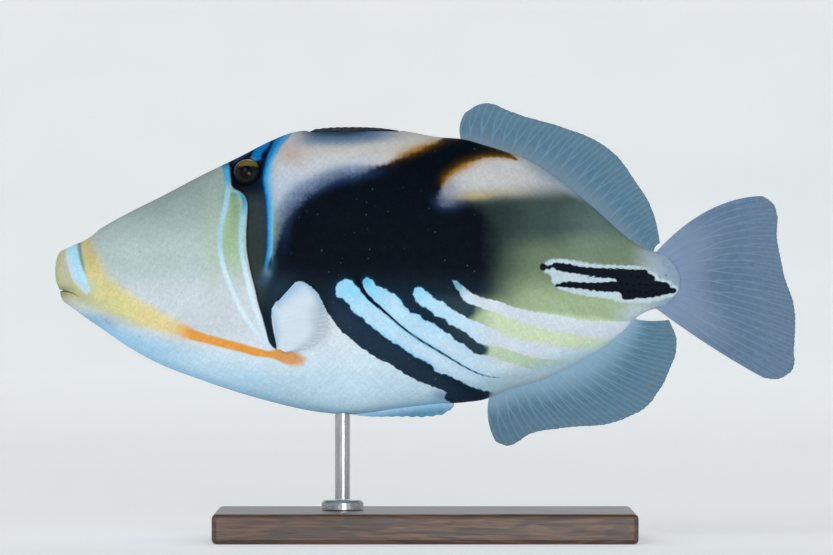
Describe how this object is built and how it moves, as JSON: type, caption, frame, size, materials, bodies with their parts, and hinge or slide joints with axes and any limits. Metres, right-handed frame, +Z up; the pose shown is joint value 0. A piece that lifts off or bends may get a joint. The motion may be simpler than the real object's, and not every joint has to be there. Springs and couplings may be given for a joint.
{
  "type": "picasso triggerfish display model",
  "caption": "Life-size picasso triggerfish in a still swimming pose, spines folded, held on a low board by one short rod.",
  "frame": {"origin": "on the underside of the stand's board, below the middle of the whole model", "axes": "+X from the snout to the tail fin, +Y from the left flank to the right flank, +Z up"},
  "size_m": [0.2469, 0.07, 0.1457],
  "materials": {
    "skin": "satin fish skin in fine diamond scales",
    "eye": "wet gloss",
    "folded_spines": "dark rough skin over bone",
    "fin_membrane": "thin clear skin between pale rays",
    "pectoral_membrane": "thin white skin over fine rays",
    "stand_wood": "dark oiled wood",
    "stand_metal": "fine brushed"
  },
  "bodies": {
    "root": {"head": "skin", "torso": "skin", "tail": "skin", "pelvic_flap": "skin", "eye_left": "eye", "eye_right": "eye", "first_dorsal_fin": "folded_spines", "second_dorsal_fin": "fin_membrane", "anal_fin": "fin_membrane", "caudal_fin": "fin_membrane", "pectoral_fin_left": "pectoral_membrane", "pectoral_fin_right": "pectoral_membrane", "stand_base": "stand_wood", "stand_collar": "stand_metal", "stand_rod": "stand_metal"}
  },
  "joints": []
}
